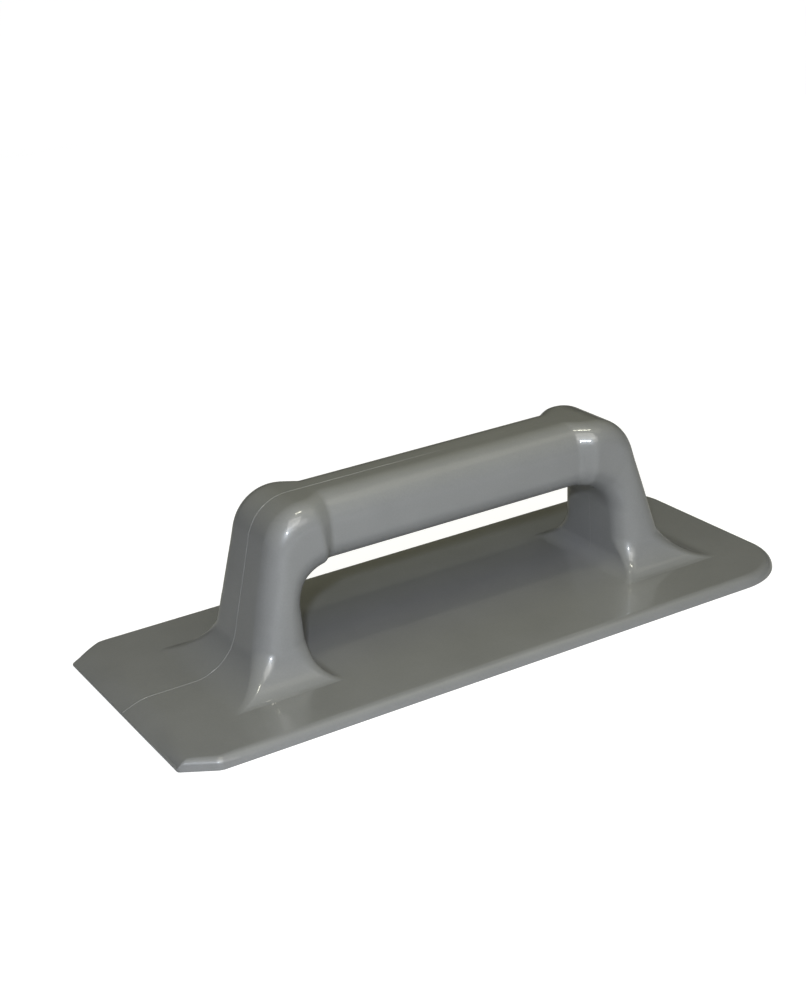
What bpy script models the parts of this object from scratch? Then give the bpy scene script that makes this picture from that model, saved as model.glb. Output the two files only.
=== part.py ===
"""Moulded plastic hand float: two half shells welded along the mid-plane, over a flat sole plate.

Metres, +Z up. The nose is at -X, the rear at +X, and the weld lies in the plane y = 0.
The origin is under the middle of the base.
"""
import math

import bmesh
import bpy

# Base
LENGTH = 0.280
WIDTH = 0.1208
DECK_THICKNESS = 0.0045
RIM_RADIUS = 0.0042
BOTTOM_EDGE = 0.0003
REAR_CORNER_RADIUS = 0.028

# Nose
NOSE_CORNER_CUT = 0.0084
NOSE_CHAMFER = 0.0135
NOSE_EDGE = 0.0010
NOSE_RIM_RADIUS = 0.0005
NOSE_RAMP = 0.0115
RAMP_POWER = 1.6

# Handle: two legs, a shoulder at the top of each, and the grip between them
HANDLE_OFFSET = 0.0037
WINDOW_LENGTH = 0.1460
WINDOW_HEIGHT = 0.0390
WINDOW_TOP_RADIUS = 0.0140
GRIP_LENGTH = 0.1146
GRIP_HEIGHT = 0.0267
GRIP_WIDTH = 0.0330
GRIP_CORNER_RADIUS = 0.0093
SHOULDER_WIDTH = 0.0414
SHOULDER_RADIUS = 0.0180
SHOULDER_CORNER_RADIUS = 0.0096
SHOULDER_STEP = 0.0050
LEG_THICKNESS = 0.0254
LEG_LEAN = math.radians(14.9)
LEG_WIDTH = 0.0490
LEG_TAPER_HEIGHT = 0.0450
LEG_CORNER_RADIUS = 0.0083

# Feet, where the legs spread into the deck
FOOT_WIDTH = 0.0672
FOOT_CORNER_RADIUS = 0.0020
FOOT_OUTER_RADIUS = 0.0200
FOOT_INNER_RADIUS = 0.0070
FOOT_SIDE_RADIUS = 0.0140

# Hollow, sole and weld
WALL = 0.0030
SOLE_THICKNESS = 0.0018
SOLE_MARGIN = 0.0060
SOLE_REAR_RADIUS = 0.0240
SOLE_FRONT_RADIUS = 0.0040
WELD_THICKNESS = 0.0006
WELD_BEAD = 0.00035
CLEARANCE = 0.0003

# Mesh resolution
RIM_STEPS = 5
RAMP_STEPS = 5
PLAN_ARC_STEPS = 8
FLAT_STEPS = 2
CORNER_STEPS = 5
FOOT_STEPS = 7
LEG_STEPS = 3
SHOULDER_STEPS = 8
STEP_STEPS = 4
BEND_STEPS = 24
SHARP_ANGLE = math.radians(35)

# Places worked out from the sizes above
NOSE_X = -LENGTH / 2
NOSE_WIDTH = WIDTH - 2 * NOSE_CORNER_CUT
REAR_X = LENGTH / 2
HALF_WINDOW = WINDOW_LENGTH / 2
HANDLE_HEIGHT = WINDOW_HEIGHT + GRIP_HEIGHT
WINDOW_CORNER = (HALF_WINDOW - WINDOW_TOP_RADIUS, WINDOW_HEIGHT - WINDOW_TOP_RADIUS)
SEAM_GAP = WELD_THICKNESS + 2 * CLEARANCE
POCKET_TOP = SOLE_THICKNESS + CLEARANCE
SOLE_FRONT = NOSE_X + max(NOSE_RAMP, NOSE_CHAMFER) + CLEARANCE
CUT_MARGIN = 0.010
FOOT_FLARE = (FOOT_WIDTH - LEG_WIDTH) / 2
FLARE_HEIGHT = math.sqrt(FOOT_SIDE_RADIUS ** 2 - (FOOT_SIDE_RADIUS - FOOT_FLARE) ** 2)

# A corner radius stays below this share of the half section it rounds
CORNER_LIMIT = 0.95

# Colours, as linear red, green and blue, and how rough the plastic is
PLASTIC_GREY = (0.205, 0.208, 0.202)
SOLE_GREY = (0.180, 0.183, 0.178)
WELD_GREY = (0.330, 0.332, 0.320)
SHELL_ROUGHNESS = 0.28
SOLE_ROUGHNESS = 0.45
WELD_ROUGHNESS = 0.35


def clear_scene():
    """Remove every object, so the script always starts from nothing."""
    for item in list(bpy.data.objects):
        bpy.data.objects.remove(item, do_unlink=True)


def plastic(name, colour, roughness):
    """A plain moulded plastic."""
    material = bpy.data.materials.new(name)
    material.use_nodes = True
    shader = material.node_tree.nodes["Principled BSDF"]
    shader.inputs["Base Color"].default_value = (*colour, 1.0)
    shader.inputs["Roughness"].default_value = roughness
    shader.inputs["Metallic"].default_value = 0.0
    return material


def make_object(name, mesh_data, material):
    """Turn a finished bmesh into a named, smooth-shaded object."""
    bmesh.ops.recalc_face_normals(mesh_data, faces=mesh_data.faces)
    mesh = bpy.data.meshes.new(name)
    mesh_data.to_mesh(mesh)
    mesh_data.free()
    mesh.shade_smooth()
    mesh.set_sharp_from_angle(angle=SHARP_ANGLE)
    item = bpy.data.objects.new(name, mesh)
    bpy.context.collection.objects.link(item)
    if material:
        item.data.materials.append(material)
    return item


def make_cutter(name, mesh_data):
    """A solid that only cuts others."""
    cutter = make_object(name, mesh_data, None)
    cutter.hide_render = True
    cutter.display_type = "WIRE"
    return cutter


def cut(item, cutter, operation):
    """Add an exact Boolean to an object."""
    modifier = item.modifiers.new(f"{operation.lower()}_{cutter.name}", "BOOLEAN")
    modifier.operation = operation
    modifier.solver = "EXACT"
    modifier.object = cutter


def arc(centre, radius, start, end, steps):
    """Points along an arc in a plane, both ends included."""
    angles = [start + (end - start) * i / steps for i in range(steps + 1)]
    return [(centre[0] + radius * math.cos(a), centre[1] + radius * math.sin(a)) for a in angles]


def resample(path, count):
    """Evenly spaced points along a line of points, both ends included."""
    lengths = [math.dist(a, b) for a, b in zip(path, path[1:])]
    step = sum(lengths) / (count - 1)
    points = [path[0]]
    travelled = 0.0
    for start, end, length in zip(path, path[1:], lengths):
        while len(points) < count - 1 and len(points) * step <= travelled + length:
            share = (len(points) * step - travelled) / length
            points.append(tuple(a + (b - a) * share for a, b in zip(start, end)))
        travelled += length
    return points + [path[-1]]


# Base shape

def deck_height(x):
    """Height of the top of the base, which ramps down to the nose edge."""
    rise = min((x - NOSE_X) / NOSE_RAMP, 1.0)
    return DECK_THICKNESS - (DECK_THICKNESS - NOSE_EDGE) * (1.0 - rise) ** RAMP_POWER


def half_width(x):
    """Half the width of the base near the nose, where the corners are cut off."""
    chamfer = min((x - NOSE_X) / NOSE_CHAMFER, 1.0)
    return (NOSE_WIDTH + (WIDTH - NOSE_WIDTH) * chamfer) / 2


def rim_radius(x):
    """Rounding of the rim, which sharpens towards the nose edge."""
    chamfer = min((x - NOSE_X) / NOSE_CHAMFER, 1.0)
    return NOSE_RIM_RADIUS + (RIM_RADIUS - NOSE_RIM_RADIUS) * chamfer


def nose_stations():
    """Places along the nose where the outline and the ramp have points."""
    ramp = {NOSE_X + NOSE_RAMP * i / RAMP_STEPS for i in range(1, RAMP_STEPS + 1)}
    return sorted(ramp | {NOSE_X + NOSE_CHAMFER})


def half_outline():
    """Plan of the base from the middle of the nose round the +Y side to the middle of the rear."""
    corner = (REAR_X - REAR_CORNER_RADIUS, WIDTH / 2 - REAR_CORNER_RADIUS)
    outline = [(NOSE_X, 0.0), (NOSE_X, NOSE_WIDTH / 2)]
    outline += [(x, half_width(x)) for x in nose_stations()]
    outline += arc(corner, REAR_CORNER_RADIUS, math.pi / 2, 0.0, PLAN_ARC_STEPS)
    outline.append((REAR_X, 0.0))
    return outline


def inward_normals(outline):
    """Inward directions at the points of a half outline that ends on the mid-plane."""
    mirrored = [(outline[1][0], -outline[1][1]), *outline, (outline[-2][0], -outline[-2][1])]
    normals = []
    for before, point, after in zip(mirrored, outline, mirrored[2:]):
        normal = [0.0, 0.0]
        for start, end in ((before, point), (point, after)):
            length = math.dist(start, end)
            normal[0] += (end[1] - start[1]) / length
            normal[1] -= (end[0] - start[0]) / length
        size = math.hypot(*normal)
        normals.append((normal[0] / size, normal[1] / size))
    return normals


def rim_column(point, normal):
    """Points up the rim at one place on the outline, from the underside to the deck."""
    rim = rim_radius(point[0])
    height = deck_height(point[0] + rim * normal[0])
    drop = min(rim, height - 2 * BOTTOM_EDGE)
    profile = [(BOTTOM_EDGE, 0.0), (0.0, BOTTOM_EDGE)]
    profile += [(rim - x, height - drop + z * drop / rim)
                for x, z in arc((0.0, 0.0), rim, 0.0, math.pi / 2, RIM_STEPS)]
    return [(point[0] + inset * normal[0], point[1] + inset * normal[1], z) for inset, z in profile]


# Handle shape, as distances from the handle's centre and heights above the deck

def fillet_reach(radius, lean):
    """How far a fillet runs along a level face from a wall that leans back."""
    return radius / math.tan((math.pi / 2 + lean) / 2)


def leg_outer(height, inset, flared):
    """Outer face of a leg: it leans in, and its foot sweeps out on to the deck."""
    base = HALF_WINDOW + LEG_THICKNESS
    reach = fillet_reach(FOOT_OUTER_RADIUS, LEG_LEAN)
    if flared and height < reach * math.cos(LEG_LEAN):
        below = FOOT_OUTER_RADIUS - height
        return base + reach - math.sqrt(FOOT_OUTER_RADIUS ** 2 - below ** 2)
    return base - inset / math.cos(LEG_LEAN) - height * math.tan(LEG_LEAN)


def leg_inner(height, inset, flared):
    """Inner face of a leg: upright, with a foot fillet on the window side."""
    if flared and height < FOOT_INNER_RADIUS:
        below = FOOT_INNER_RADIUS - height
        return HALF_WINDOW - FOOT_INNER_RADIUS + math.sqrt(FOOT_INNER_RADIUS ** 2 - below ** 2)
    return HALF_WINDOW + inset


def leg_spread(height):
    """How much a leg is wider than its shoulder on each side: it tapers upwards."""
    return (LEG_WIDTH - SHOULDER_WIDTH) / 2 * max(0.0, 1.0 - height / LEG_TAPER_HEIGHT)


def leg_section(height, inset, flared):
    """One level section of a leg: outer point, inner point, half width and corner radius."""
    width = SHOULDER_WIDTH / 2 + leg_spread(height) - inset
    corner = LEG_CORNER_RADIUS
    if flared and height < FLARE_HEIGHT:
        below = FLARE_HEIGHT - height
        width += FOOT_SIDE_RADIUS - math.sqrt(FOOT_SIDE_RADIUS ** 2 - below ** 2)
        corner += (FOOT_CORNER_RADIUS - LEG_CORNER_RADIUS) * below / FLARE_HEIGHT
    rise = max(0.0, height / WINDOW_CORNER[1])
    corner += (SHOULDER_CORNER_RADIUS - LEG_CORNER_RADIUS) * rise ** 3
    outer = (leg_outer(height, inset, flared), height)
    inner = (leg_inner(height, inset, flared), height)
    return outer, inner, width, corner - inset


def grip_profile(distance):
    """Half width and corner radius across the grip, which steps out to the shoulders."""
    share = (distance - GRIP_LENGTH / 2) / SHOULDER_STEP
    share = min(max(share, 0.0), 1.0)
    proud = share * share * (3.0 - 2.0 * share)
    width = GRIP_WIDTH / 2 + (SHOULDER_WIDTH - GRIP_WIDTH) / 2 * proud
    corner = GRIP_CORNER_RADIUS + (SHOULDER_CORNER_RADIUS - GRIP_CORNER_RADIUS) * proud
    return width, corner


def shoulder_sections(inset):
    """Sections that turn from level in the leg to upright in the grip."""
    top = HANDLE_HEIGHT - inset
    radius = SHOULDER_RADIUS - inset
    meet = leg_outer(top, inset, False)
    centre = (meet - fillet_reach(radius, LEG_LEAN), top - radius)
    start = (leg_outer(WINDOW_CORNER[1], inset, False), WINDOW_CORNER[1])
    bend = arc(centre, radius, LEG_LEAN, math.pi / 2, BEND_STEPS)
    outer = resample([start, *bend, (WINDOW_CORNER[0], top)], SHOULDER_STEPS + 1)
    inner = arc(WINDOW_CORNER, WINDOW_TOP_RADIUS + inset, 0.0, math.pi / 2, SHOULDER_STEPS)
    sections = []
    for start, end in zip(outer, inner):
        width, corner = grip_profile((start[0] + end[0]) / 2)
        width += leg_spread((start[1] + end[1]) / 2)
        sections.append((start, end, width - inset, corner - inset))
    return sections


def grip_section(distance, inset):
    """One upright section of the grip."""
    width, corner = grip_profile(distance)
    outer = (distance, HANDLE_HEIGHT - inset)
    inner = (distance, WINDOW_HEIGHT + inset)
    return outer, inner, width - inset, corner - inset


def foot_heights():
    """Section heights up a leg, closest together where the foot meets the deck."""
    sweep = math.pi / 2 - LEG_LEAN
    low = [FOOT_OUTER_RADIUS * (1.0 - math.cos(sweep * i / FOOT_STEPS)) for i in range(FOOT_STEPS + 1)]
    rise = (WINDOW_CORNER[1] - low[-1]) / LEG_STEPS
    return low + [low[-1] + rise * i for i in range(1, LEG_STEPS)]


def half_arch(heights, inset, flared):
    """Sections from one foot to the middle of the grip."""
    sections = [leg_section(height, inset, flared) for height in heights]
    sections += shoulder_sections(inset)
    start = WINDOW_CORNER[0]
    end = min(GRIP_LENGTH / 2, start) - SHOULDER_STEP / STEP_STEPS
    for i in range(1, STEP_STEPS + 1):
        sections.append(grip_section(start + (end - start) * i / STEP_STEPS, inset))
    sections.append(grip_section(0.0, inset))
    return sections


def section_points(section, side):
    """Points round one section, from its outer middle by the +Y side to its inner middle and back."""
    outer, inner, width, corner = section
    depth = math.dist(outer, inner) / 2
    corner = min(corner, CORNER_LIMIT * depth, CORNER_LIMIT * width)
    quarter = [(depth, (width - corner) * i / FLAT_STEPS) for i in range(FLAT_STEPS)]
    quarter += arc((depth - corner, width - corner), corner, 0.0, math.pi / 2, CORNER_STEPS)
    half = quarter + [(0.0, width)] + [(-p, y) for p, y in reversed(quarter)]
    loop = half + [(p, -y) for p, y in half[-2:0:-1]]
    points = []
    for p, y in loop:
        share = (1.0 - p / depth) / 2
        distance = outer[0] + (inner[0] - outer[0]) * share
        height = outer[1] + (inner[1] - outer[1]) * share
        points.append((HANDLE_OFFSET + side * distance, y, DECK_THICKNESS + height))
    return points


def arch_rings(mesh_data, heights, inset, flared):
    """Vertex rings of the whole arch, bridged from the nose-side foot to the rear-side foot."""
    half = half_arch(heights, inset, flared)
    loops = [section_points(section, -1) for section in half]
    loops += [section_points(section, 1) for section in reversed(half[:-1])]
    rings = [[mesh_data.verts.new(point) for point in loop] for loop in loops]
    for lower, upper in zip(rings, rings[1:]):
        for i in range(len(lower)):
            mesh_data.faces.new((lower[i - 1], lower[i], upper[i], upper[i - 1]))
    return rings


# Solids

def outer_body():
    """The whole outside of the float as one solid: base, legs and grip."""
    mesh_data = bmesh.new()
    rings = arch_rings(mesh_data, foot_heights(), 0.0, True)
    outline = half_outline()
    columns = [rim_column(point, normal) for point, normal in zip(outline, inward_normals(outline))]
    left = [[mesh_data.verts.new(point) for point in column] for column in columns]
    right = [[mesh_data.verts.new((x, -y, z)) for x, y, z in column] for column in columns[1:-1]]
    loop = left + right[::-1]
    for i in range(len(loop)):
        for j in range(len(loop[i]) - 1):
            mesh_data.faces.new((loop[i - 1][j], loop[i][j], loop[i][j + 1], loop[i - 1][j + 1]))
    mesh_data.faces.new([column[0] for column in loop])
    add_deck(mesh_data, rings, left, [left[0], *right, left[-1]])
    return mesh_data


def add_deck(mesh_data, rings, left, right):
    """The top of the base: ramp strips at the nose, then one face each side around the feet."""
    last = 1 + len(nose_stations())
    middle = [left[0][-1]]
    for column in left[2:last + 1]:
        x, _, z = column[-1].co
        middle.append(mesh_data.verts.new((x, 0.0, z)))
    half = len(rings[0]) // 2
    for rim, sign in ((left, 1), (right, -1)):
        tops = [column[-1] for column in rim]
        mesh_data.faces.new((middle[0], tops[1], tops[2], middle[1]))
        for i in range(2, last):
            mesh_data.faces.new((middle[i - 1], tops[i], tops[i + 1], middle[i]))
        near = [rings[0][sign * i] for i in range(half + 1)]
        far = [rings[-1][sign * i] for i in range(half + 1)]
        mesh_data.faces.new([middle[-1], *near, *far[::-1], tops[-1], *tops[-2:last - 1:-1]])


def hollow():
    """The space inside the legs and the grip, open below the deck."""
    mesh_data = bmesh.new()
    rings = arch_rings(mesh_data, [-DECK_THICKNESS - CUT_MARGIN, 0.0], WALL, False)
    mesh_data.faces.new(rings[0])
    mesh_data.faces.new(rings[-1])
    return mesh_data


def sole_outline(margin):
    """Plan of the sole, or of its pocket when the margin leaves room for it."""
    front = SOLE_FRONT + (margin - SOLE_MARGIN)
    side = WIDTH / 2 - margin
    rear = REAR_X - margin
    small = SOLE_FRONT_RADIUS + (SOLE_MARGIN - margin)
    large = SOLE_REAR_RADIUS + (SOLE_MARGIN - margin)
    half = arc((front + small, side - small), small, math.pi, math.pi / 2, PLAN_ARC_STEPS)
    half += arc((rear - large, side - large), large, math.pi / 2, 0.0, PLAN_ARC_STEPS)
    return half + [(x, -y) for x, y in reversed(half)]


def level_prism(outline, bottom, top):
    """An outline in plan, made solid between two heights."""
    mesh_data = bmesh.new()
    face = mesh_data.faces.new([mesh_data.verts.new((x, y, bottom)) for x, y in outline])
    extrude(mesh_data, [face], (0.0, 0.0, top - bottom))
    return mesh_data


def extrude(mesh_data, faces, travel):
    """Make flat faces into a closed solid by moving a copy of them."""
    result = bmesh.ops.extrude_face_region(mesh_data, geom=faces, use_keep_orig=True)
    moved = [item for item in result["geom"] if isinstance(item, bmesh.types.BMVert)]
    bmesh.ops.translate(mesh_data, verts=moved, vec=travel)


def half_space(side):
    """A block over one side of the float, clear of the weld in the middle."""
    start = side * SEAM_GAP / 2
    end = side * (WIDTH / 2 + CUT_MARGIN)
    corners = [(NOSE_X - CUT_MARGIN, start), (REAR_X + CUT_MARGIN, start),
               (REAR_X + CUT_MARGIN, end), (NOSE_X - CUT_MARGIN, end)]
    return level_prism(corners, -CUT_MARGIN, DECK_THICKNESS + HANDLE_HEIGHT + CUT_MARGIN)


# Weld, drawn in the mid-plane

def profile(sections, index, side):
    """The outer (0) or inner (1) line of an arch in the mid-plane."""
    return [(HANDLE_OFFSET + side * section[index][0], DECK_THICKNESS + section[index][1])
            for section in sections]


def raised(line, amount):
    """A line in the mid-plane moved to its left, which makes the bead stand proud."""
    moved = []
    for i, point in enumerate(line):
        before = line[max(i - 1, 0)]
        after = line[min(i + 1, len(line) - 1)]
        length = math.dist(before, after)
        moved.append((point[0] - amount * (after[1] - before[1]) / length,
                      point[1] + amount * (after[0] - before[0]) / length))
    return moved


def hollow_sections():
    """Sections of the hollow that start level with the roof of the sole's pocket."""
    return half_arch([POCKET_TOP - DECK_THICKNESS, 0.0], WALL, False)


def seam_slab(polygons):
    """Polygons in the mid-plane, made into one solid as thick as the weld."""
    mesh_data = bmesh.new()
    corners = {}
    faces = []
    for polygon in polygons:
        for point in polygon:
            if point not in corners:
                corners[point] = mesh_data.verts.new((point[0], -WELD_THICKNESS / 2, point[1]))
        faces.append(mesh_data.faces.new([corners[point] for point in polygon]))
    extrude(mesh_data, faces, (0.0, WELD_THICKNESS, 0.0))
    return mesh_data


def outer_weld():
    """Weld from the nose edge over the handle to the rear rim."""
    arch = half_arch(foot_heights(), 0.0, True)
    bore = hollow_sections()
    outside = profile(arch, 0, -1) + profile(arch[:-1], 0, 1)[::-1]
    inside = profile(bore, 0, -1) + profile(bore[:-1], 0, 1)[::-1]
    ramp = [(NOSE_X, NOSE_EDGE)] + [(x, deck_height(x)) for x in nose_stations()]
    rim = [(x, z) for x, _, z in rim_column((REAR_X, 0.0), (-1.0, 0.0))]
    pocket_front = SOLE_FRONT - CLEARANCE
    pocket_rear = REAR_X - SOLE_MARGIN + CLEARANCE
    top = raised(ramp + outside, WELD_BEAD)
    top[0] = (NOSE_X, NOSE_EDGE)
    under = [(pocket_rear, 0.0), (pocket_rear, POCKET_TOP), *inside[::-1],
             (pocket_front, POCKET_TOP), (pocket_front, 0.0), (NOSE_X, 0.0)]
    return seam_slab([top + rim[::-1] + under])


def window_weld():
    """Weld round the finger window, under the grip, down the legs and across the deck."""
    arch = half_arch(foot_heights(), 0.0, True)
    bore = hollow_sections()
    polygons = []
    for side in (-1, 1):
        edge = [(HANDLE_OFFSET, DECK_THICKNESS)] + profile(arch, 1, side)
        bead = raised(edge, side * WELD_BEAD)
        bead[0] = (HANDLE_OFFSET, DECK_THICKNESS + WELD_BEAD)
        bead[-1] = (HANDLE_OFFSET, DECK_THICKNESS + WINDOW_HEIGHT - WELD_BEAD)
        back = [(HANDLE_OFFSET, POCKET_TOP)] + profile(bore, 1, side)
        polygons.append(bead + back[::-1])
    return seam_slab(polygons)


def main():
    clear_scene()
    grey = plastic("grey_plastic", PLASTIC_GREY, SHELL_ROUGHNESS)
    sole_grey = plastic("sole_plastic", SOLE_GREY, SOLE_ROUGHNESS)
    pale = plastic("weld_plastic", WELD_GREY, WELD_ROUGHNESS)
    cavity = make_cutter("handle_hollow", hollow())
    pocket_plan = sole_outline(SOLE_MARGIN - CLEARANCE)
    pocket = make_cutter("sole_pocket", level_prism(pocket_plan, -CUT_MARGIN, POCKET_TOP))
    for name, side in (("left_half_shell", 1), ("right_half_shell", -1)):
        shell = make_object(name, outer_body(), grey)
        cut(shell, cavity, "DIFFERENCE")
        cut(shell, pocket, "DIFFERENCE")
        cut(shell, make_cutter(f"{name}_space", half_space(side)), "INTERSECT")
    make_object("sole_plate", level_prism(sole_outline(SOLE_MARGIN), 0.0, SOLE_THICKNESS), sole_grey)
    make_object("outer_weld", outer_weld(), pale)
    make_object("window_weld", window_weld(), pale)


main()
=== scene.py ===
"""Looks for the moulded plastic hand float: fine surfaces, materials, light and camera.

Metres, +Z up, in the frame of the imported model. The nose is at -X and the weld lies in the plane y = 0.
"""
import math

import bmesh
import bpy
from mathutils import Matrix, Vector, noise

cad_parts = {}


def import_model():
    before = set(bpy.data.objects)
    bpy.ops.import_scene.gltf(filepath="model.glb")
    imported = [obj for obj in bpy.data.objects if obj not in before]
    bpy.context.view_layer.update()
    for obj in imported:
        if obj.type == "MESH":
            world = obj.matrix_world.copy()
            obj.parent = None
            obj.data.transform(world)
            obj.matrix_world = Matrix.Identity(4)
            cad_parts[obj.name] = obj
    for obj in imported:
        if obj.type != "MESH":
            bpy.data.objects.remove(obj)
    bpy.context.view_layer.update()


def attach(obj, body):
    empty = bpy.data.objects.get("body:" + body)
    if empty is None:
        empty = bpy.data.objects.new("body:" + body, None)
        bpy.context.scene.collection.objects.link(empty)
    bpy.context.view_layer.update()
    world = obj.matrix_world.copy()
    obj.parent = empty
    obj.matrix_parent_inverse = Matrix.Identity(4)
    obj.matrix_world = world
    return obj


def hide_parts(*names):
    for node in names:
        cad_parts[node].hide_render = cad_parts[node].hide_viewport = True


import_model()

# Base
LENGTH = 0.280
WIDTH = 0.1208
DECK_THICKNESS = 0.0045
RIM_RADIUS = 0.0042
BOTTOM_EDGE = 0.0005
REAR_CORNER_RADIUS = 0.028

# Nose
NOSE_CORNER_CUT = 0.0084
NOSE_CHAMFER = 0.0135
NOSE_EDGE = 0.0010
NOSE_RIM_RADIUS = 0.0005
CHAMFER_START = 0.0030
RIM_BLEND = 0.014
NOSE_RAMP = 0.0115
RAMP_POWER = 1.6
CORNER_RAMP_POWER = 3.0
RAMP_MIDDLE = 0.020
NEAR_CORNER_RAMP = 0.006
FAR_CORNER_RAMP = 0.022
CHAMFER_RIM_RADIUS = 0.0022
CHAMFER_LEAN = (0.0003, 0.0015)
NOSE_CORNER_RADIUS = 0.0015
CHAMFER_END_RADIUS = 0.0060

# Handle
HANDLE_OFFSET = 0.0037
WINDOW_LENGTH = 0.1460
WINDOW_HEIGHT = 0.0390
WINDOW_TOP_RADIUS = 0.0140
GRIP_LENGTH = 0.1112
GRIP_HEIGHT = 0.0267
GRIP_WIDTH = 0.0330
GRIP_TOP_RADIUS = 0.0114
GRIP_UNDER_RADIUS = 0.0084
SHOULDER_WIDTH = 0.0414
SHOULDER_RADIUS = 0.0180
SHOULDER_CORNER_RADIUS = 0.0098
SHOULDER_STEP = 0.0092
LEG_THICKNESS = 0.0254
LEG_LEAN = math.radians(14.9)
LEG_WIDTH = 0.0490
LEG_TAPER_HEIGHT = 0.0450
LEG_CORNER_RADIUS = 0.0095
CORNER_LIMIT = 0.95

# Feet
FOOT_WIDTH = 0.0672
FOOT_CORNER_RADIUS = 0.0020
FOOT_OUTER_RADIUS = 0.0200
FOOT_INNER_RADIUS = 0.0070
FOOT_SIDE_RADIUS = 0.0140
CREASE_HEIGHT = 0.0005
CREASE_REACH = 0.0008

# Hollow and sole
WALL = 0.0030
SOLE_THICKNESS = 0.0018
SOLE_MARGIN = 0.0060
SOLE_REAR_RADIUS = 0.0240
SOLE_FRONT_RADIUS = 0.0040
SOLE_EDGE = 0.0004
CLEARANCE = 0.0003

# Weld
WELD_HALF = 0.00022
WELD_DEPTH = 0.0012
WELD_PROUD = 0.00013
WELD_WAVES = 140.0
WELD_UNEVENNESS = 0.5
WELD_SINK_LENGTH = 0.004
WELD_WORN = 0.2
WELD_WORN_X = 0.020
WELD_WORN_LENGTH = 0.050
WELD_NICKS = ((-0.0734, 0.0667), (-0.1012, 0.0066))
NICK_SIZE = 0.0008
NICK_RISE = 1.2
NOSE_EDGE_SHARES = (0.2, 0.5, 0.8)

# Mesh resolution
RIM_STEPS = 10
NOSE_STEPS = 12
RAMP_STEPS = 14
PLAN_ARC_STEPS = 48
PLAN_CORNER_STEPS = 8
FLAT_STEPS = 6
CORNER_STEPS = 16
SIDE_STEPS = 8
FOOT_STEPS = 36
LEG_STEPS = 14
SHOULDER_STEPS = 72
BEND_STEPS = 200
STEP_STEPS = 24
STEP_ZONE = 0.006
GRIP_STEPS = 12
WELD_STEPS = 6
SHARP_ANGLE = math.radians(32)

# Plastic: colours and gloss
SHELL_DARK = (0.192, 0.193, 0.193)
SHELL_LIGHT = (0.208, 0.209, 0.209)
SHELL_GREY = (0.200, 0.201, 0.201)
WELD_GREY = (0.226, 0.227, 0.225)
SOLE_DARK = (0.165, 0.168, 0.163)
SOLE_LIGHT = (0.190, 0.193, 0.187)
SHELL_ROUGHNESS = 0.32
SOLE_ROUGHNESS = 0.40
SHELL_SCUFFS = 0.02
SOLE_SCUFFS = 0.25
SHELL_GLOSS = 0.9
SOLE_GLOSS = 0.0
COAT_ROUGHNESS = 0.05
PLASTIC_IOR = 1.49

# Plastic: axis and places between which the weld turns from the shell's grey to its own
OUTER_WELD_FADE = ("X", 0.03, -0.04)
WINDOW_WELD_FADE = ("Z", 0.006, 0.010)

# Plastic: surface marks, in features per metre, with the bump heights in metres
NOISE_BAND = (0.3, 0.7)
CLOUD_SCALE = 38.0
SPECK_SCALE = 1400.0
SPECK_RANGE = (0.97, 1.03)
HAZE_SCALE = 60.0
HAZE_RANGE = (-0.04, 0.05)
STREAK_SCALE = 900.0
STREAK_STRETCH = (0.06, 1.0, 1.0)
STREAK_BAND = (0.56, 0.72)
WAVE_SCALE = 45.0
WAVE_HEIGHT = 0.0004
WAVE_STRENGTH = 0.12
GRAIN_SCALE = 2600.0
GRAIN_HEIGHT = 0.00004
GRAIN_STRENGTH = 0.10

# Floor and backdrop
FLOOR_SIZE = 12.0
FLOOR_GREY = (0.35, 0.35, 0.35, 1.0)
FLOOR_ROUGHNESS = 0.85
FLOOR_GLOW_NEAR = 0.85
FLOOR_GLOW_FAR = 1.0
GLOW_BAND = (0.3, 1.5)
BACKDROP_RADIUS = 10.0
BACKDROP_HEIGHT = 8.0
BACKDROP_MIDDLE = 3.9
BACKDROP_SIDES = 96
WHITE = (1.0, 1.0, 1.0, 1.0)

# Light and camera
AIM = (0.0, 0.0, 0.03)
WORLD_STRENGTH = 0.004
CAMERA_LENS = 62.935
CAMERA_SENSOR = 36.0
CAMERA_CLIP_START = 0.01
CAMERA_PLACE = (-0.323497, -0.562512, 0.307606)
CAMERA_RIGHT = (0.85924, -0.50651, -0.07175)
CAMERA_UP = (0.24461, 0.28361, 0.92722)
CAMERA_BACK = (-0.44930, -0.81426, 0.36759)

# Places worked out from the sizes above
NOSE_X = -LENGTH / 2
REAR_X = LENGTH / 2
NOSE_WIDTH = WIDTH - 2 * NOSE_CORNER_CUT
HALF_WINDOW = WINDOW_LENGTH / 2
HANDLE_HEIGHT = WINDOW_HEIGHT + GRIP_HEIGHT
WINDOW_CORNER = (HALF_WINDOW - WINDOW_TOP_RADIUS, WINDOW_HEIGHT - WINDOW_TOP_RADIUS)
FOOT_FLARE = (FOOT_WIDTH - LEG_WIDTH) / 2
FLARE_HEIGHT = math.sqrt(FOOT_SIDE_RADIUS ** 2 - (FOOT_SIDE_RADIUS - FOOT_FLARE) ** 2)
POCKET_TOP = SOLE_THICKNESS + CLEARANCE
SOLE_FRONT = NOSE_X + max(NOSE_RAMP, NOSE_CHAMFER) + CLEARANCE
WELD_LOW_END = BOTTOM_EDGE / 4


def arc(centre, radius, start, end, steps):
    """Points along an arc in a plane, both ends included."""
    angles = [start + (end - start) * i / steps for i in range(steps + 1)]
    return [(centre[0] + radius * math.cos(a), centre[1] + radius * math.sin(a)) for a in angles]


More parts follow.
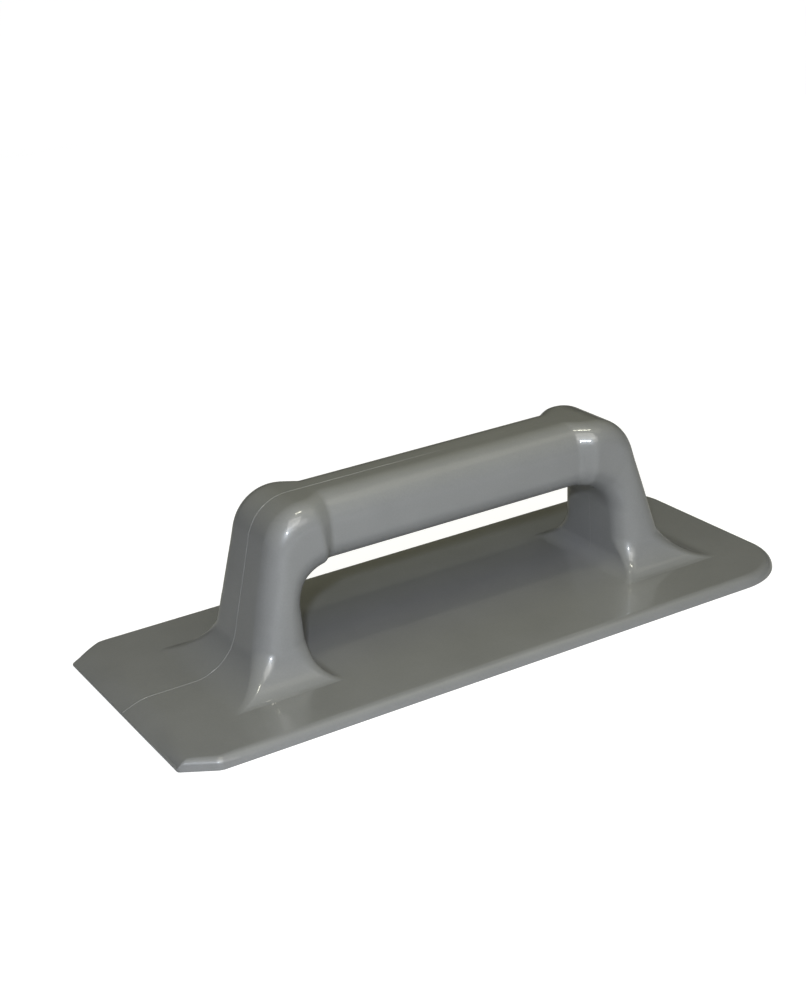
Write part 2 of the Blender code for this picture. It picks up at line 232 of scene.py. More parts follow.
def resample(path, count):
    """Evenly spaced points along a line of points, both ends included."""
    lengths = [math.dist(a, b) for a, b in zip(path, path[1:])]
    step = sum(lengths) / (count - 1)
    points = [path[0]]
    travelled = 0.0
    for start, end, length in zip(path, path[1:], lengths):
        while len(points) < count - 1 and len(points) * step <= travelled + length:
            share = (len(points) * step - travelled) / length
            points.append(tuple(a + (b - a) * share for a, b in zip(start, end)))
        travelled += length
    return points + [path[-1]]


def smooth(share):
    """A soft step from 0 to 1."""
    share = min(max(share, 0.0), 1.0)
    return share * share * (3.0 - 2.0 * share)


def steep(share):
    """A step from 0 to 1 that is softer at its ends and steeper in its middle."""
    share = min(max(share, 0.0), 1.0)
    return share ** 3 * (10.0 - 15.0 * share + 6.0 * share * share)


# Base shape

def deck_height(x, y, corner_ramp):
    """Height of the top of the base, which ramps down to the nose edge, blunter at the corners."""
    corner = smooth((y - RAMP_MIDDLE) / (NOSE_WIDTH / 2 - RAMP_MIDDLE))
    length = NOSE_RAMP + (corner_ramp - NOSE_RAMP) * corner
    power = RAMP_POWER + (CORNER_RAMP_POWER - RAMP_POWER) * corner
    rise = min(max((x - NOSE_X) / length, 0.0), 1.0)
    return DECK_THICKNESS - (DECK_THICKNESS - NOSE_EDGE) * (1.0 - rise) ** power


def rim_radius(x):
    """Rounding of the rim, which is sharper along the nose chamfer and at the nose edge."""
    start = min((x - NOSE_X) / CHAMFER_START, 1.0)
    blend = smooth((x - NOSE_X - NOSE_CHAMFER) / RIM_BLEND)
    radius = NOSE_RIM_RADIUS + (CHAMFER_RIM_RADIUS - NOSE_RIM_RADIUS) * start
    return radius + (RIM_RADIUS - CHAMFER_RIM_RADIUS) * blend


def rim_lean(x):
    """How far the top of the rim leans in: most at the rear end of the nose chamfer."""
    start = min((x - NOSE_X) / CHAMFER_START, 1.0)
    chamfer = min((x - NOSE_X) / NOSE_CHAMFER, 1.0)
    blend = smooth((x - NOSE_X - NOSE_CHAMFER) / RIM_BLEND)
    return (CHAMFER_LEAN[0] * start + (CHAMFER_LEAN[1] - CHAMFER_LEAN[0]) * chamfer) * (1.0 - blend)


def round_corner(before, corner, after, radius, steps):
    """Points that round one corner of a plan outline."""
    back = Vector(before) - Vector(corner)
    ahead = Vector(after) - Vector(corner)
    half_angle = back.angle(ahead) / 2
    bisector = (back.normalized() + ahead.normalized()).normalized()
    centre = Vector(corner) + bisector * radius / math.sin(half_angle)
    start = Vector(corner) + back.normalized() * radius / math.tan(half_angle) - centre
    end = Vector(corner) + ahead.normalized() * radius / math.tan(half_angle) - centre
    turn = start.angle_signed(end)
    points = []
    for i in range(steps + 1):
        a = math.atan2(start.y, start.x) - turn * i / steps
        points.append((centre.x + radius * math.cos(a), centre.y + radius * math.sin(a)))
    return points


def half_outline():
    """Plan of the base from the middle of the nose round one side to the middle of the rear."""
    nose = (NOSE_X, NOSE_WIDTH / 2)
    chamfer_end = (NOSE_X + NOSE_CHAMFER, WIDTH / 2)
    corner = (REAR_X - REAR_CORNER_RADIUS, WIDTH / 2 - REAR_CORNER_RADIUS)
    first = round_corner((NOSE_X, 0.0), nose, chamfer_end, NOSE_CORNER_RADIUS, PLAN_CORNER_STEPS)
    second = round_corner(nose, chamfer_end, (REAR_X, WIDTH / 2), CHAMFER_END_RADIUS, PLAN_CORNER_STEPS)
    straight = []
    for i in range(1, RAMP_STEPS):
        share = i / RAMP_STEPS
        straight.append(tuple(a + (b - a) * share for a, b in zip(first[-1], second[0])))
    outline = []
    for i in range(NOSE_STEPS):
        outline.append((NOSE_X, WELD_HALF + (first[0][1] - WELD_HALF) * i / NOSE_STEPS))
    outline += [*first, *straight, *second]
    for i in range(1, RAMP_STEPS + 1):
        outline.append((second[-1][0] + RIM_BLEND * i / RAMP_STEPS, WIDTH / 2))
    outline += arc(corner, REAR_CORNER_RADIUS, math.pi / 2, 0.0, PLAN_ARC_STEPS)
    outline.append((REAR_X, WELD_HALF))
    return outline


def inward_normals(outline):
    """Inward directions at the points of a half outline that ends on the mid-plane."""
    mirrored = [(outline[1][0], -outline[1][1]), *outline, (outline[-2][0], -outline[-2][1])]
    normals = []
    for before, point, after in zip(mirrored, outline, mirrored[2:]):
        normal = [0.0, 0.0]
        for start, end in ((before, point), (point, after)):
            length = math.dist(start, end)
            normal[0] += (end[1] - start[1]) / length
            normal[1] -= (end[0] - start[0]) / length
        size = math.hypot(*normal)
        normals.append((normal[0] / size, normal[1] / size))
    return normals


def rim_column(point, normal, corner_ramp):
    """Points up the rim at one place on the outline, from the underside to the deck."""
    rim = rim_radius(point[0])
    lean = rim_lean(point[0])
    top = rim + lean
    height = deck_height(point[0] + top * normal[0], point[1] + top * normal[1], corner_ramp)
    edge = min(BOTTOM_EDGE, height / 3)
    column = [(edge - x, edge - z) for x, z in arc((0.0, 0.0), edge, math.pi / 2, 0.0, RIM_STEPS // 2)]
    drop = min(rim, height - edge)
    column += [(rim - x, height - drop + z * drop / rim)
               for x, z in arc((0.0, 0.0), rim, 0.0, math.pi / 2, RIM_STEPS)]
    points = []
    for inset, z in column:
        inset += lean * max(z - edge, 0.0) / (height - edge)
        points.append((point[0] + inset * normal[0], point[1] + inset * normal[1], z))
    return points


# Handle shape, as distances from the handle's centre and heights above the deck

def fillet_reach(radius, lean):
    """How far a fillet runs along a level face from a wall that leans back."""
    return radius / math.tan((math.pi / 2 + lean) / 2)


def leg_outer(height, inset, flared):
    """Outer face of a leg: it leans in, and its foot sweeps out on to the deck."""
    base = HALF_WINDOW + LEG_THICKNESS
    reach = fillet_reach(FOOT_OUTER_RADIUS, LEG_LEAN)
    if flared and height < reach * math.cos(LEG_LEAN):
        below = FOOT_OUTER_RADIUS - height
        return base + reach - math.sqrt(FOOT_OUTER_RADIUS ** 2 - below ** 2)
    return base - inset / math.cos(LEG_LEAN) - height * math.tan(LEG_LEAN)


def leg_inner(height, inset, flared):
    """Inner face of a leg: upright, with a foot fillet on the window side."""
    if flared and height < FOOT_INNER_RADIUS:
        below = FOOT_INNER_RADIUS - height
        return HALF_WINDOW - FOOT_INNER_RADIUS + math.sqrt(FOOT_INNER_RADIUS ** 2 - below ** 2)
    return HALF_WINDOW + inset


def leg_spread(height):
    """How much a leg is wider than its shoulder on each side: it tapers upwards."""
    return (LEG_WIDTH - SHOULDER_WIDTH) / 2 * max(0.0, 1.0 - height / LEG_TAPER_HEIGHT)


def leg_section(height, inset, flared):
    """One level section of a leg: outer and inner point, half width, outer and inner corner radius."""
    width = SHOULDER_WIDTH / 2 + leg_spread(height) - inset
    corner = LEG_CORNER_RADIUS
    if flared and height < FLARE_HEIGHT:
        below = FLARE_HEIGHT - height
        width += FOOT_SIDE_RADIUS - math.sqrt(FOOT_SIDE_RADIUS ** 2 - below ** 2)
        width += CREASE_REACH * max(0.0, 1.0 - height / CREASE_HEIGHT) ** 2
        corner += (FOOT_CORNER_RADIUS - LEG_CORNER_RADIUS) * below / FLARE_HEIGHT
    outer = (leg_outer(height, inset, flared), height)
    inner = (leg_inner(height, inset, flared), height)
    return outer, inner, width, (corner - inset, corner - inset)


def grip_profile(distance):
    """Half width and upper and lower corner radius across the grip, which steps out to the shoulders."""
    proud = steep((distance - GRIP_LENGTH / 2) / SHOULDER_STEP)
    width = GRIP_WIDTH / 2 + (SHOULDER_WIDTH - GRIP_WIDTH) / 2 * proud
    top = GRIP_TOP_RADIUS + (SHOULDER_CORNER_RADIUS - GRIP_TOP_RADIUS) * proud
    under = GRIP_UNDER_RADIUS + (SHOULDER_CORNER_RADIUS - GRIP_UNDER_RADIUS) * proud
    return width, top, under


def shoulder_sections(inset):
    """Sections that turn from level in the leg to upright in the grip."""
    top = HANDLE_HEIGHT - inset
    radius = SHOULDER_RADIUS - inset
    meet = leg_outer(top, inset, False)
    centre = (meet - fillet_reach(radius, LEG_LEAN), top - radius)
    start = (leg_outer(WINDOW_CORNER[1], inset, False), WINDOW_CORNER[1])
    bend = arc(centre, radius, LEG_LEAN, math.pi / 2, BEND_STEPS)
    outer = resample([start, *bend, (WINDOW_CORNER[0], top)], SHOULDER_STEPS + 1)
    inner = arc(WINDOW_CORNER, WINDOW_TOP_RADIUS + inset, 0.0, math.pi / 2, SHOULDER_STEPS)
    sections = []
    for start, end in zip(outer, inner):
        width, top_corner, under_corner = grip_profile((start[0] + end[0]) / 2)
        width += leg_spread((start[1] + end[1]) / 2)
        sections.append((start, end, width - inset, (top_corner - inset, under_corner - inset)))
    return sections


def grip_section(distance, inset):
    """One upright section of the grip."""
    width, top_corner, under_corner = grip_profile(distance)
    outer = (distance, HANDLE_HEIGHT - inset)
    inner = (distance, WINDOW_HEIGHT + inset)
    return outer, inner, width - inset, (top_corner - inset, under_corner - inset)


def foot_heights():
    """Section heights up a leg, closest together where the foot meets the deck."""
    sweep = math.pi / 2 - LEG_LEAN
    low = [FOOT_OUTER_RADIUS * (1.0 - math.cos(sweep * i / FOOT_STEPS)) for i in range(FOOT_STEPS + 1)]
    rise = (WINDOW_CORNER[1] - low[-1]) / LEG_STEPS
    return low + [low[-1] + rise * i for i in range(1, LEG_STEPS)]


def half_arch(inset, flared):
    """Sections from one foot to the middle of the grip."""
    sections = [leg_section(height, inset, flared) for height in foot_heights()]
    sections += shoulder_sections(inset)
    for i in range(1, STEP_STEPS + 1):
        sections.append(grip_section(WINDOW_CORNER[0] - STEP_ZONE * i / STEP_STEPS, inset))
    plain = WINDOW_CORNER[0] - STEP_ZONE
    for i in range(1, GRIP_STEPS + 1):
        sections.append(grip_section(plain * (1.0 - i / GRIP_STEPS), inset))
    return sections


def quarter_loop(depth, width, corner):
    """A quarter of a section: half of its flat and one oval corner, as depths and widths."""
    across = min(corner, CORNER_LIMIT * width)
    flat = width - across
    reach = depth - min(corner, CORNER_LIMIT * depth)
    quarter = [(depth, WELD_HALF + (flat - WELD_HALF) * i / FLAT_STEPS) for i in range(FLAT_STEPS)]
    for p, y in arc((0.0, 0.0), 1.0, 0.0, math.pi / 2, CORNER_STEPS):
        quarter.append((reach + (depth - reach) * p, flat + across * y))
    return quarter


def half_loop(section, side):
    """Points round half of one section, from its outer middle by the +Y side to its inner middle."""
    outer, inner, width, corners = section
    depth = math.dist(outer, inner) / 2
    upper = quarter_loop(depth, width, corners[0])
    lower = [(-p, y) for p, y in reversed(quarter_loop(depth, width, corners[1]))]
    start = upper[-1][0]
    end = lower[0][0]
    middle = [(start + (end - start) * i / SIDE_STEPS, width) for i in range(1, SIDE_STEPS)]
    points = []
    for p, y in upper + middle + lower:
        share = (1.0 - p / depth) / 2
        distance = outer[0] + (inner[0] - outer[0]) * share
        height = outer[1] + (inner[1] - outer[1]) * share
        points.append((HANDLE_OFFSET + side * distance, y, DECK_THICKNESS + height))
    return points


def arch_loops(inset, flared):
    """Half loops of the whole arch, from the nose-side foot to the rear-side foot."""
    half = half_arch(inset, flared)
    loops = [half_loop(section, -1) for section in half]
    return loops + [half_loop(section, 1) for section in reversed(half[:-1])]


# Meshes

def finish_piece(name, mesh_data, material, node):
    """Turn a closed bmesh into a smooth piece that stands for one node of the model."""
    bmesh.ops.recalc_face_normals(mesh_data, faces=mesh_data.faces)
    mesh = bpy.data.meshes.new(name)
    mesh_data.to_mesh(mesh)
    mesh_data.free()
    mesh.shade_smooth()
    mesh.set_sharp_from_angle(angle=SHARP_ANGLE)
    item = bpy.data.objects.new(name, mesh)
    bpy.context.collection.objects.link(item)
    item.data.materials.append(material)
    weighted = item.modifiers.new("weighted_normals", "WEIGHTED_NORMAL")
    weighted.keep_sharp = True
    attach(item, "root")
    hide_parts(node)


def skin(mesh_data, rows):
    """Quads between neighbouring rows of vertices."""
    for lower, upper in zip(rows, rows[1:]):
        for a, b, c, d in zip(lower, lower[1:], upper[1:], upper):
            mesh_data.faces.new((a, b, c, d))


def sole_half_outline(margin):
    """Half plan of the sole, or of its pocket, from the front middle to the rear middle."""
    front = SOLE_FRONT + (margin - SOLE_MARGIN)
    side = WIDTH / 2 - margin
    rear = REAR_X - margin
    small = SOLE_FRONT_RADIUS + (SOLE_MARGIN - margin)
    large = SOLE_REAR_RADIUS + (SOLE_MARGIN - margin)
    half = [(front, WELD_HALF)]
    half += arc((front + small, side - small), small, math.pi, math.pi / 2, PLAN_CORNER_STEPS)
    half += arc((rear - large, side - large), large, math.pi / 2, 0.0, PLAN_ARC_STEPS)
    return half + [(rear, WELD_HALF)]


def half_shell(hand, corner_ramp):
    """One closed half of the float: deck, rim, hollow half handle and the pocket for the sole."""
    mesh_data = bmesh.new()

    def vertex(point):
        return mesh_data.verts.new((point[0], hand * point[1], point[2]))

    outline = half_outline()
    columns = [rim_column(p, n, corner_ramp) for p, n in zip(outline, inward_normals(outline))]
    rim = [[vertex(p) for p in column] for column in columns]
    arch = [[vertex(p) for p in loop] for loop in arch_loops(0.0, True)]
    roof = POCKET_TOP - DECK_THICKNESS
    inside = arch_loops(WALL, False)
    low = half_loop(leg_section(roof, WALL, False), -1)
    high = half_loop(leg_section(roof, WALL, False), 1)
    hollow = [[vertex(p) for p in loop] for loop in [low, *inside, high]]
    plan = sole_half_outline(SOLE_MARGIN - CLEARANCE)
    pocket_low = [vertex((x, y, 0.0)) for x, y in plan]
    pocket_high = [vertex((x, y, POCKET_TOP)) for x, y in plan]

    skin(mesh_data, arch)
    skin(mesh_data, hollow)
    skin(mesh_data, rim)
    skin(mesh_data, [pocket_low, pocket_high])
    skin(mesh_data, [[loop[0] for loop in arch], [loop[0] for loop in hollow[1:-1]]])
    skin(mesh_data, [[loop[-1] for loop in arch], [loop[-1] for loop in hollow[1:-1]]])

    ramp_end = NOSE_X + max(NOSE_RAMP, corner_ramp)
    last = next(i for i, column in enumerate(rim) if column[-1].co.x > ramp_end)
    deck = [[column[-1] for column in rim[:NOSE_STEPS + 1]]]
    for column in columns[NOSE_STEPS + 1:last + 1]:
        x, side, _ = column[-1]
        across = [WELD_HALF + (side - WELD_HALF) * i / NOSE_STEPS for i in range(NOSE_STEPS)]
        deck.append([vertex((x, y, deck_height(x, y, corner_ramp))) for y in across])
    for row, column in zip(deck[1:], rim[NOSE_STEPS + 1:]):
        row.append(column[-1])
    skin(mesh_data, deck)
    tops = [column[-1] for column in rim[last:]]
    mesh_data.faces.new([deck[-1][0], *arch[0], *arch[-1][::-1], *tops[::-1], *deck[-1][-2:0:-1]])

    mesh_data.faces.new([column[0] for column in rim] + pocket_low[::-1])
    mesh_data.faces.new([*pocket_high, *hollow[-1], *hollow[0][::-1]])
    mesh_data.faces.new([*rim[0], *[row[0] for row in deck[1:]], arch[0][0], hollow[1][0], hollow[0][0],
                         pocket_high[0], pocket_low[0]])
    mesh_data.faces.new([arch[0][-1], arch[-1][-1], hollow[-2][-1], hollow[-1][-1],
                         hollow[0][-1], hollow[1][-1]])
    mesh_data.faces.new([arch[-1][0], *rim[-1][::-1], pocket_low[-1], pocket_high[-1],
                         hollow[-1][0], hollow[-2][0]])
    return mesh_data


def sole():
    """The sole plate, with a rounded lower edge."""
    mesh_data = bmesh.new()
    lower_edge = arc((0.0, 0.0), SOLE_EDGE, math.pi / 2, 0.0, WELD_STEPS)
    levels = [(SOLE_EDGE - x, SOLE_EDGE - z) for x, z in lower_edge]
    levels += [(0.0, SOLE_THICKNESS - SOLE_EDGE / 2), (SOLE_EDGE / 2, SOLE_THICKNESS)]
    rings = []
    for inset, z in levels:
        half = sole_half_outline(SOLE_MARGIN + inset)[1:-1]
        loop = half + [(x, -y) for x, y in reversed(half)]
        rings.append([mesh_data.verts.new((x, y, z)) for x, y in loop])
    skin(mesh_data, [ring + ring[:1] for ring in rings])
    mesh_data.faces.new(rings[0])
    mesh_data.faces.new(rings[-1])
    return mesh_data


# Weld, drawn along lines in the mid-plane

def profile(index):
    """The handle's outer (0) or inner (1) line in the mid-plane, from the nose foot to the rear foot."""
    half = half_arch(0.0, True)
    front = [(HANDLE_OFFSET - s[index][0], DECK_THICKNESS + s[index][1]) for s in half]
    rear = [(HANDLE_OFFSET + s[index][0], DECK_THICKNESS + s[index][1]) for s in half[:-1]]
    return front + rear[::-1]


def weld_rise(x, z):
    """How proud the weld stands: flush on the deck behind the front leg, and worn towards the rear."""
    above = smooth((z - DECK_THICKNESS) / WELD_SINK_LENGTH)
    ahead = smooth((HANDLE_OFFSET - HALF_WINDOW - x) / WELD_SINK_LENGTH)
    worn = WELD_WORN + (1.0 - WELD_WORN) * smooth((WELD_WORN_X - x) / WELD_WORN_LENGTH)
    return max(above, ahead) * worn


def bead(line, closed):
    """A thin uneven weld bead swept along a line, its rounded top to the left of the line."""
    mesh_data = bmesh.new()
    count = len(line)
    rings = []
    travelled = 0.0
    for i, (x, z) in enumerate(line):
        if closed:
            before = line[i - 1]
            after = line[(i + 1) % count]
        else:
            before = line[max(i - 1, 0)]
            after = line[min(i + 1, count - 1)]
        length = math.dist(before, after)
        side = (-(after[1] - before[1]) / length, (after[0] - before[0]) / length)
        if i:
            travelled += math.dist(line[i - 1], (x, z))
        wave = noise.noise(Vector((travelled * WELD_WAVES, 0.0, 0.0)))
        nick = sum(math.exp(-math.dist((x, z), place) ** 2 / NICK_SIZE ** 2) for place in WELD_NICKS)
        proud = WELD_PROUD * weld_rise(x, z) * (1.0 + WELD_UNEVENNESS * wave + NICK_RISE * nick)
        section = [(-WELD_HALF, -WELD_DEPTH)]
        section += [(-WELD_HALF * math.cos(a), proud * math.sin(a))
                    for a in (math.pi * k / WELD_STEPS for k in range(WELD_STEPS + 1))]
        section.append((WELD_HALF, -WELD_DEPTH))
        rings.append([mesh_data.verts.new((x + side[0] * d, y, z + side[1] * d)) for y, d in section])
    loops = [ring + ring[:1] for ring in rings]
    if closed:
        skin(mesh_data, loops + loops[:1])
    else:
        skin(mesh_data, loops)
        mesh_data.faces.new(rings[0])
        mesh_data.faces.new(rings[-1])
    return mesh_data


def outer_line():
    """Line of the outer weld: from the sole round the nose, over the handle and round the rear rim."""
    steps = [NOSE_X + NOSE_RAMP * i / RAMP_STEPS for i in range(1, RAMP_STEPS + 1)]
    ramp = [(x, deck_height(x, 0.0, NOSE_RAMP)) for x in steps]
    front = [(SOLE_FRONT - CLEARANCE, WELD_PROUD), (NOSE_X + NOSE_EDGE, WELD_PROUD)]
    edge = [(NOSE_X + WELD_PROUD, NOSE_EDGE * share) for share in NOSE_EDGE_SHARES]
    column = rim_column((REAR_X, 0.0), (-1.0, 0.0), NOSE_RAMP)
    rim = [(x, z) for x, _, z in column if z >= WELD_LOW_END]
    rear = [(REAR_X - SOLE_MARGIN + CLEARANCE, WELD_PROUD)]
    return [*front, *edge, (NOSE_X + NOSE_RIM_RADIUS, NOSE_EDGE), *ramp, *profile(0), *rim[::-1], *rear]


def window_line():
    """Line of the weld round the finger window, with the window on its left."""
    line = profile(1)
    deck = [(line[0][0] + (line[-1][0] - line[0][0]) * i / RAMP_STEPS, DECK_THICKNESS)
            for i in range(1, RAMP_STEPS)]
    return deck + line[::-1]


# Materials

def new_material(name):
    """A new material, its node tree and its shader."""
    material = bpy.data.materials.new(name)
    material.use_nodes = True
    tree = material.node_tree
    return material, tree, tree.nodes["Principled BSDF"]


def add(tree, kind, **values):
    """Add a node and set its plain properties or its inputs."""
    node = tree.nodes.new(kind)
    for key, value in values.items():
        if key in node.inputs:
            node.inputs[key].default_value = value
        else:
            setattr(node, key, value)
    return node


def noise_at(tree, scale, detail, stretch=(1.0, 1.0, 1.0)):
    """Noise in object space, in features per metre, stretched along the axes."""
    place = add(tree, "ShaderNodeTexCoord")
    mapping = add(tree, "ShaderNodeMapping", Scale=stretch)
    texture = add(tree, "ShaderNodeTexNoise", Scale=scale, Detail=detail)
    tree.links.new(place.outputs["Object"], mapping.inputs["Vector"])
    tree.links.new(mapping.outputs["Vector"], texture.inputs["Vector"])
    return texture.outputs["Fac"]


def spread(tree, value, result, band=NOISE_BAND):
    """Map the part of a value that lies in a band to a range of results."""
    node = add(tree, "ShaderNodeMapRange")
    node.inputs["From Min"].default_value = band[0]
    node.inputs["From Max"].default_value = band[1]
    node.inputs["To Min"].default_value = result[0]
    node.inputs["To Max"].default_value = result[1]
    tree.links.new(value, node.inputs["Value"])
    return node.outputs["Result"]


def bump(tree, height, distance, strength, normal=None):
    """A bump node, chained after another when one is given."""
    node = add(tree, "ShaderNodeBump", Distance=distance, Strength=strength)
    tree.links.new(height, node.inputs["Height"])
    if normal:
        tree.links.new(normal, node.inputs["Normal"])
    return node.outputs["Normal"]


def along(tree, axis, start, end):
    """A value that runs from 0 to 1 between two places along an axis."""
    place = add(tree, "ShaderNodeTexCoord")
    parts = add(tree, "ShaderNodeSeparateXYZ")
    tree.links.new(place.outputs["Object"], parts.inputs["Vector"])
    return spread(tree, parts.outputs[axis], (0.0, 1.0), (start, end))


def moulded_plastic(name, dark, light, roughness, scuffs, gloss, fade=None):
    """Moulded plastic: faint mottling, or a fade between two colours, with flow waves and scuffs."""
    material, tree, shader = new_material(name)
    if fade:
        cloud = along(tree, *fade)
    else:
        cloud = spread(tree, noise_at(tree, CLOUD_SCALE, detail=4.0), (0.0, 1.0))
    speck = spread(tree, noise_at(tree, SPECK_SCALE, detail=2.0), SPECK_RANGE)
    tint = add(tree, "ShaderNodeMix", data_type="RGBA")
    tint.inputs["A"].default_value = (*dark, 1.0)
    tint.inputs["B"].default_value = (*light, 1.0)
    tree.links.new(cloud, tint.inputs["Factor"])
    grain = add(tree, "ShaderNodeVectorMath", operation="SCALE")
    tree.links.new(tint.outputs["Result"], grain.inputs[0])
    tree.links.new(speck, grain.inputs["Scale"])
    tree.links.new(grain.outputs["Vector"], shader.inputs["Base Color"])

    haze_range = (roughness + HAZE_RANGE[0], roughness + HAZE_RANGE[1])
    haze = spread(tree, noise_at(tree, HAZE_SCALE, detail=5.0), haze_range)
    streaks = noise_at(tree, STREAK_SCALE, detail=3.0, stretch=STREAK_STRETCH)
    streak = spread(tree, streaks, (0.0, scuffs), STREAK_BAND)
    rough = add(tree, "ShaderNodeMath", operation="ADD")
    tree.links.new(haze, rough.inputs[0])
    tree.links.new(streak, rough.inputs[1])
    tree.links.new(rough.outputs["Value"], shader.inputs["Roughness"])

    waves = bump(tree, noise_at(tree, WAVE_SCALE, detail=1.0), WAVE_HEIGHT, WAVE_STRENGTH)
    fine_noise = noise_at(tree, GRAIN_SCALE, detail=2.0)
    fine_grain = bump(tree, fine_noise, GRAIN_HEIGHT, GRAIN_STRENGTH, waves)
    tree.links.new(fine_grain, shader.inputs["Normal"])
    shader.inputs["Metallic"].default_value = 0.0
    shader.inputs["IOR"].default_value = PLASTIC_IOR
    shader.inputs["Coat Weight"].default_value = gloss
    shader.inputs["Coat Roughness"].default_value = COAT_ROUGHNESS
    return material


# Studio

def glowing(name, glow_near, glow_far):
    """A pale material that glows, more so further from the float."""
    material, tree, shader = new_material(name)
    shader.inputs["Base Color"].default_value = FLOOR_GREY
    shader.inputs["Roughness"].default_value = FLOOR_ROUGHNESS
    shader.inputs["Emission Color"].default_value = WHITE
    place = add(tree, "ShaderNodeTexCoord")
    length = add(tree, "ShaderNodeVectorMath", operation="LENGTH")
    tree.links.new(place.outputs["Object"], length.inputs[0])
    glow = spread(tree, length.outputs["Value"], (glow_near, glow_far), GLOW_BAND)
    tree.links.new(glow, shader.inputs["Emission Strength"])
    return material


def stage_piece(name, mesh_data, material):
    """A part of the set, whose glow falls on nothing but the set."""
    mesh = bpy.data.meshes.new(name)
    mesh_data.to_mesh(mesh)
    mesh_data.free()
    item = bpy.data.objects.new(name, mesh)
    bpy.context.collection.objects.link(item)
    item.data.materials.append(material)
    own = bpy.data.collections.new(name + "_light")
    own.objects.link(item)
    item.light_linking.receiver_collection = own
    return item


def floor():
    """A wide pale floor."""
    mesh_data = bmesh.new()
    bmesh.ops.create_grid(mesh_data, x_segments=1, y_segments=1, size=FLOOR_SIZE)
    stage_piece("floor", mesh_data, glowing("pale_floor", FLOOR_GLOW_NEAR, FLOOR_GLOW_FAR))


def backdrop():
    """A round pale wall behind the floor, seen only by the camera."""
    mesh_data = bmesh.new()
    bmesh.ops.create_cone(mesh_data, cap_ends=True, segments=BACKDROP_SIDES, radius1=BACKDROP_RADIUS,
                          radius2=BACKDROP_RADIUS, depth=BACKDROP_HEIGHT)
    bmesh.ops.translate(mesh_data, verts=mesh_data.verts, vec=(0.0, 0.0, BACKDROP_MIDDLE))
    wall = stage_piece("backdrop", mesh_data, glowing("pale_wall", FLOOR_GLOW_FAR, FLOOR_GLOW_FAR))
    wall.visible_diffuse = False
    wall.visible_glossy = False
    wall.visible_shadow = False


def area_light(name, azimuth, elevation, distance, size, power, colour, highlights=True):
    """A soft light aimed at the float, with angles in degrees, lengths in metres and power in watts."""
    light = bpy.data.lights.new(name, "AREA")
    light.shape = "RECTANGLE"
    light.size = size[0]
    light.size_y = size[1]
    light.energy = power
    light.color = colour
    item = bpy.data.objects.new(name, light)
    turn = math.radians(azimuth)
    tilt = math.radians(elevation)
    aim = Vector((math.cos(tilt) * math.cos(turn), math.cos(tilt) * math.sin(turn), math.sin(tilt)))
    item.location = Vector(AIM) + aim * distance
    item.rotation_euler = aim.to_track_quat("Z", "Y").to_euler()
    item.visible_glossy = highlights
    bpy.context.collection.objects.link(item)


def world():
    """Faint even light from all round."""
    surroundings = bpy.data.worlds.new("studio")
    surroundings.use_nodes = True
    background = surroundings.node_tree.nodes["Background"]
    background.inputs["Color"].default_value = WHITE
    background.inputs["Strength"].default_value = WORLD_STRENGTH
    bpy.context.scene.world = surroundings


def camera():
    """The photograph's view."""
    data = bpy.data.cameras.new("camera")
    data.lens = CAMERA_LENS
    data.sensor_width = CAMERA_SENSOR
    data.clip_start = CAMERA_CLIP_START
    item = bpy.data.objects.new("camera", data)
    turn = Matrix((CAMERA_RIGHT, CAMERA_UP, CAMERA_BACK)).transposed().to_4x4()
    item.matrix_world = Matrix.Translation(CAMERA_PLACE) @ turn
    bpy.context.collection.objects.link(item)
    bpy.context.scene.camera = item


shell_plastic = moulded_plastic("shell_plastic", SHELL_DARK, SHELL_LIGHT,
                                SHELL_ROUGHNESS, SHELL_SCUFFS, SHELL_GLOSS)
sole_plastic = moulded_plastic("sole_plastic", SOLE_DARK, SOLE_LIGHT,
                               SOLE_ROUGHNESS, SOLE_SCUFFS, SOLE_GLOSS)
outer_weld_plastic = moulded_plastic("outer_weld_plastic", SHELL_GREY, WELD_GREY,
                                     SHELL_ROUGHNESS, SHELL_SCUFFS, SHELL_GLOSS, OUTER_WELD_FADE)
window_weld_plastic = moulded_plastic("window_weld_plastic", SHELL_GREY, WELD_GREY,
                                      SHELL_ROUGHNESS, SHELL_SCUFFS, SHELL_GLOSS, WINDOW_WELD_FADE)

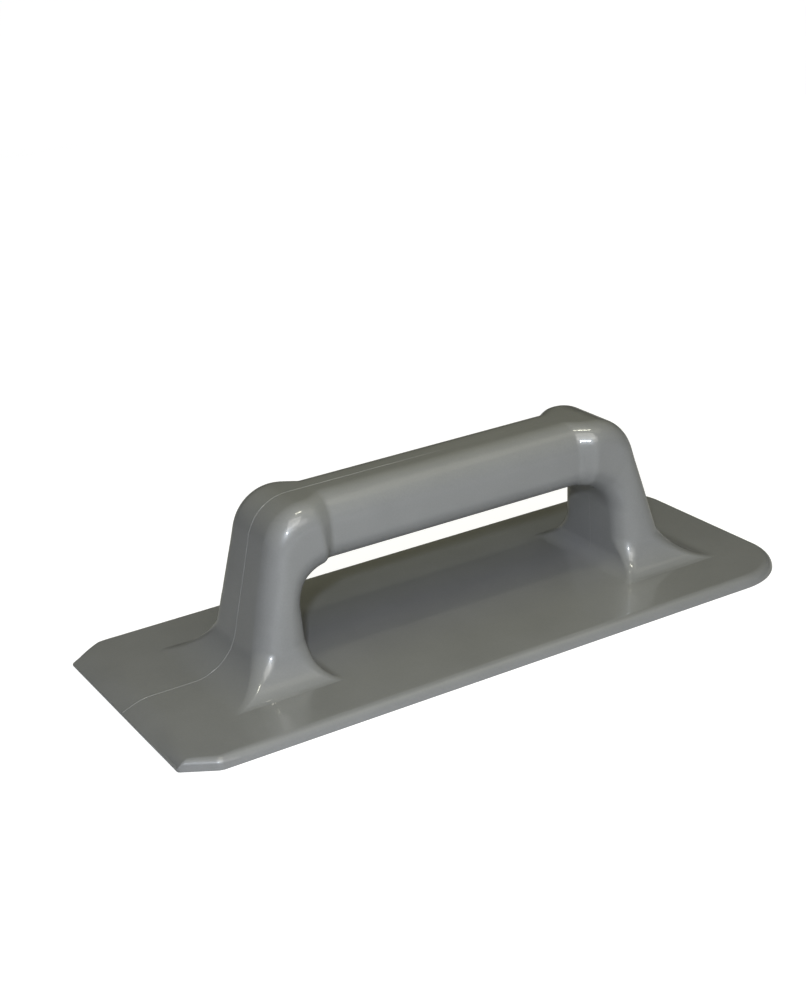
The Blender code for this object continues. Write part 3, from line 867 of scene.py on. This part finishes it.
finish_piece("left_shell_skin", half_shell(1, FAR_CORNER_RAMP), shell_plastic,
             "left_half_shell")
finish_piece("right_shell_skin", half_shell(-1, NEAR_CORNER_RAMP), shell_plastic,
             "right_half_shell")
finish_piece("sole_skin", sole(), sole_plastic, "sole_plate")
finish_piece("outer_bead", bead(outer_line(), False), outer_weld_plastic,
             "outer_weld")
finish_piece("window_bead", bead(window_line(), True), window_weld_plastic,
             "window_weld")

floor()
backdrop()
camera()
world()

# Lights that leave highlights
area_light("flash", azimuth=-122.3, elevation=29.5, distance=0.765, size=(0.035, 0.035),
           power=3.15, colour=(0.83, 0.90, 1.0))
area_light("tube", azimuth=-92.0, elevation=79.0, distance=0.9, size=(0.225, 0.054),
           power=0.85, colour=(1.0, 0.98, 0.80))
area_light("high", azimuth=-111.0, elevation=50.0, distance=1.0, size=(0.5, 0.5),
           power=2.2, colour=(1.0, 0.98, 0.92))
area_light("window", azimuth=-93.0, elevation=36.0, distance=1.0, size=(0.5, 0.4),
           power=0.9, colour=(1.0, 0.97, 0.92))
area_light("right", azimuth=-35.0, elevation=58.0, distance=1.2, size=(0.6, 0.4),
           power=0.4, colour=(1.0, 0.97, 0.80))

# Fills that leave none
area_light("low", azimuth=-90.0, elevation=5.0, distance=1.0, size=(0.7, 0.15),
           power=3.6, colour=(0.92, 0.96, 1.0), highlights=False)
area_light("left", azimuth=-145.0, elevation=28.0, distance=1.2, size=(0.6, 0.6),
           power=1.4, colour=(0.98, 0.97, 1.0), highlights=False)
area_light("ceiling", azimuth=-75.0, elevation=82.0, distance=0.35, size=(0.3, 0.3),
           power=0.29, colour=(1.0, 0.98, 0.35), highlights=False)
area_light("back", azimuth=88.0, elevation=9.0, distance=1.2, size=(0.6, 0.2),
           power=3.4, colour=(1.0, 1.0, 1.0), highlights=False)
area_light("rear", azimuth=25.0, elevation=9.0, distance=1.2, size=(0.6, 0.2),
           power=3.4, colour=(1.0, 1.0, 1.0), highlights=False)

bpy.context.scene.view_settings.view_transform = "Standard"
